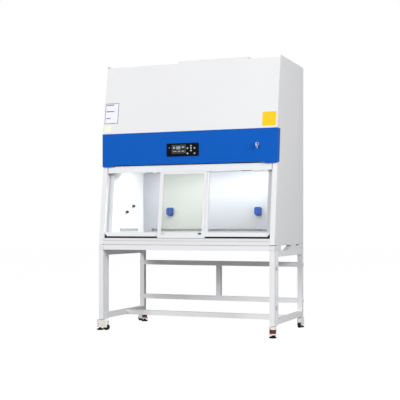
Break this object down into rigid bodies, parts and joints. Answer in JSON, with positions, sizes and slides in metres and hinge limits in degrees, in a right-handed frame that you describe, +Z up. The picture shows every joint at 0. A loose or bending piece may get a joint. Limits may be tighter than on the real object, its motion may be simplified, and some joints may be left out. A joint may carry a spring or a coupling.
{
  "type": "biosafety cabinet",
  "caption": "Free-standing biosafety cabinet with a lifting front sash, sliding sash door, blue control fascia, fan and filters, on a tube stand with levelling casters.",
  "frame": {"origin": "on the floor under the middle of the cabinet", "axes": "+Z up, the sash and control fascia face -Y, the rear panel faces +Y"},
  "size_m": [1.5522, 0.8835, 2.204],
  "materials": {
    "cabinet_paint": "fine textured powder coat",
    "stand_paint": "fine textured powder coat",
    "blue_paint": "smooth gloss paint",
    "black_plastic": "fine matte moulding",
    "screen_glass": "clear gloss cover",
    "guide_metal": "satin anodised",
    "black_rubber": "matte",
    "motor_metal": "cast satin",
    "stainless": "fine brushed",
    "liner_paint": "smooth satin",
    "lamp_white": "frosted glass tube",
    "socket_blue": "moulded gloss",
    "chromed_brass": "polished",
    "filter_media": "pleated fibre in a frame",
    "galvanised": "galvanised sheet",
    "white_plastic": "moulded",
    "zinc_screws": "zinc plated",
    "sash_metal": "satin anodised",
    "sash_glass": "tempered, faint green tint",
    "ivory_plastic": "glass-filled nylon",
    "black_nylon": "moulded nylon"
  },
  "bodies": {
    "cabinet": {"side_frame_left": "stand_paint", "side_frame_right": "stand_paint", "front_top_rail": "stand_paint", "rear_brace": "stand_paint", "lower_crossbar": "stand_paint", "stand_caps": "white_plastic", "cabinet_base": "cabinet_paint", "side_panel_left": "cabinet_paint", "side_panel_right": "cabinet_paint", "rear_panel": "cabinet_paint", "top_panel": "cabinet_paint", "upper_front_panel": "cabinet_paint", "control_fascia": "blue_paint", "display_bezel": "black_plastic", "display_screen": "screen_glass", "front_sill": "cabinet_paint", "sash_guides": "guide_metal", "lift_belts": "black_rubber", "lift_motor": "motor_metal", "liner_side_walls": "stainless", "liner_back_wall": "stainless", "work_tray": "stainless", "intake_grille": "stainless", "diffuser_panel": "liner_paint", "lamp_fitting": "lamp_white", "socket_boxes": "socket_blue", "gas_valve_bodies": "chromed_brass", "supply_filter": "filter_media", "plenum_box": "galvanised", "blower_inlet_ring": "galvanised", "blower_motor": "motor_metal", "exhaust_filter": "filter_media", "exhaust_collar": "cabinet_paint", "mains_inlet": "white_plastic", "drain_valve": "chromed_brass"},
    "sash": {"sash_frame": "sash_metal", "sash_side_panes": "sash_glass"},
    "sliding_door": {"door_frame": "sash_metal", "door_pane": "sash_glass"},
    "lift_shaft_body": {"lift_shaft": "motor_metal"},
    "idlers": {"idler_pulleys": "motor_metal"},
    "impeller": {"blower_impeller": "galvanised"},
    "lid_left": {"socket_lid_left": "socket_blue"},
    "lid_right": {"socket_lid_right": "socket_blue"},
    "knob_front": {"valve_knob_front": "black_plastic"},
    "knob_rear": {"valve_knob_rear": "black_plastic"},
    "drain_lever_body": {"drain_lever": "black_plastic"},
    "key": {"panel_key": "zinc_screws"},
    "caster_front_left_fork": {"caster_front_left_housing": "ivory_plastic"},
    "caster_front_left_roller": {"caster_front_left_wheel": "black_nylon"},
    "caster_front_left_leveller": {"caster_front_left_foot": "black_rubber"},
    "caster_front_right_fork": {"caster_front_right_housing": "ivory_plastic"},
    "caster_front_right_roller": {"caster_front_right_wheel": "black_nylon"},
    "caster_front_right_leveller": {"caster_front_right_foot": "black_rubber"},
    "caster_rear_left_fork": {"caster_rear_left_housing": "ivory_plastic"},
    "caster_rear_left_roller": {"caster_rear_left_wheel": "black_nylon"},
    "caster_rear_left_leveller": {"caster_rear_left_foot": "black_rubber"},
    "caster_rear_right_fork": {"caster_rear_right_housing": "ivory_plastic"},
    "caster_rear_right_roller": {"caster_rear_right_wheel": "black_nylon"},
    "caster_rear_right_leveller": {"caster_rear_right_foot": "black_rubber"}
  },
  "joints": [
    {"name": "sash_lift", "type": "slide", "parent": "cabinet", "child": "sash", "axis": [0, 0.1253, 0.9921], "range_m": [0, 0.4]},
    {"name": "door_slide", "type": "slide", "parent": "sash", "child": "sliding_door", "axis": [1, 0, 0], "range_m": [-0.4, 0.4]},
    {"name": "lift_shaft_turn", "type": "hinge", "parent": "cabinet", "child": "lift_shaft_body", "pos_m": [0, -0.25525, 1.76367], "axis": [1, 0, 0], "range_deg": [-1435, 0]},
    {"name": "idler_turn", "type": "hinge", "parent": "cabinet", "child": "idlers", "pos_m": [0, -0.31729, 1.27257], "axis": [1, 0, 0], "range_deg": [-1435, 0]},
    {"name": "impeller_spin", "type": "hinge", "parent": "cabinet", "child": "impeller", "pos_m": [0, 0.15, 1.745], "axis": [0, 1, 0], "continuous": true},
    {"name": "socket_lid_left_open", "type": "hinge", "parent": "cabinet", "child": "lid_left", "pos_m": [-0.403, 0.2347, 1.007], "axis": [-1, 0, 0], "range_deg": [0, 110]},
    {"name": "socket_lid_right_open", "type": "hinge", "parent": "cabinet", "child": "lid_right", "pos_m": [0.403, 0.2347, 1.007], "axis": [-1, 0, 0], "range_deg": [0, 110]},
    {"name": "gas_tap_front_turn", "type": "hinge", "parent": "cabinet", "child": "knob_front", "pos_m": [-0.648, -0.086, 0.973], "axis": [1, 0, 0], "range_deg": [0, 360]},
    {"name": "gas_tap_rear_turn", "type": "hinge", "parent": "cabinet", "child": "knob_rear", "pos_m": [-0.648, 0.039, 1.025], "axis": [1, 0, 0], "range_deg": [0, 360]},
    {"name": "drain_lever_turn", "type": "hinge", "parent": "cabinet", "child": "drain_lever_body", "pos_m": [0.534, -0.295, 0.681], "axis": [-1, 0, 0], "range_deg": [0, 90]},
    {"name": "panel_key_turn", "type": "hinge", "parent": "cabinet", "child": "key", "pos_m": [0.589, -0.34, 1.482], "axis": [0, 1, 0], "range_deg": [0, 90]},
    {"name": "caster_front_left_swivel", "type": "hinge", "parent": "cabinet", "child": "caster_front_left_fork", "pos_m": [-0.73, -0.385, 0.09], "axis": [0, 0, 1], "continuous": true},
    {"name": "caster_front_left_roll", "type": "hinge", "parent": "caster_front_left_fork", "child": "caster_front_left_roller", "pos_m": [-0.69237, -0.39029, 0.026], "axis": [0.1392, 0.9903, 0], "continuous": true},
    {"name": "caster_front_left_level", "type": "slide", "parent": "caster_front_left_fork", "child": "caster_front_left_leveller", "axis": [0, 0, 1], "range_m": [-0.006, 0.008]},
    {"name": "caster_front_right_swivel", "type": "hinge", "parent": "cabinet", "child": "caster_front_right_fork", "pos_m": [0.73, -0.385, 0.09], "axis": [0, 0, 1], "continuous": true},
    {"name": "caster_front_right_roll", "type": "hinge", "parent": "caster_front_right_fork", "child": "caster_front_right_roller", "pos_m": [0.7234, -0.34758, 0.026], "axis": [-0.9848, -0.1736, 0], "continuous": true},
    {"name": "caster_front_right_level", "type": "slide", "parent": "caster_front_right_fork", "child": "caster_front_right_leveller", "axis": [0, 0, 1], "range_m": [-0.006, 0.008]},
    {"name": "caster_rear_left_swivel", "type": "hinge", "parent": "cabinet", "child": "caster_rear_left_fork", "pos_m": [-0.73, 0.395, 0.09], "axis": [0, 0, 1], "continuous": true},
    {"name": "caster_rear_left_roll", "type": "hinge", "parent": "caster_rear_left_fork", "child": "caster_rear_left_roller", "pos_m": [-0.76291, 0.414, 0.026], "axis": [-0.5, -0.866, 0], "continuous": true},
    {"name": "caster_rear_left_level", "type": "slide", "parent": "caster_rear_left_fork", "child": "caster_rear_left_leveller", "axis": [0, 0, 1], "range_m": [-0.006, 0.008]},
    {"name": "caster_rear_right_swivel", "type": "hinge", "parent": "cabinet", "child": "caster_rear_right_fork", "pos_m": [0.73, 0.395, 0.09], "axis": [0, 0, 1], "continuous": true},
    {"name": "caster_rear_right_roll", "type": "hinge", "parent": "caster_rear_right_fork", "child": "caster_rear_right_roller", "pos_m": [0.73331, 0.35714, 0.026], "axis": [0.9962, 0.0872, 0], "continuous": true},
    {"name": "caster_rear_right_level", "type": "slide", "parent": "caster_rear_right_fork", "child": "caster_rear_right_leveller", "axis": [0, 0, 1], "range_m": [-0.006, 0.008]}
  ],
  "couplings": [
    {"joint": "lift_shaft_turn", "follows": "sash_lift", "rad_per_m": -62.5},
    {"joint": "idler_turn", "follows": "sash_lift", "rad_per_m": -62.5}
  ]
}
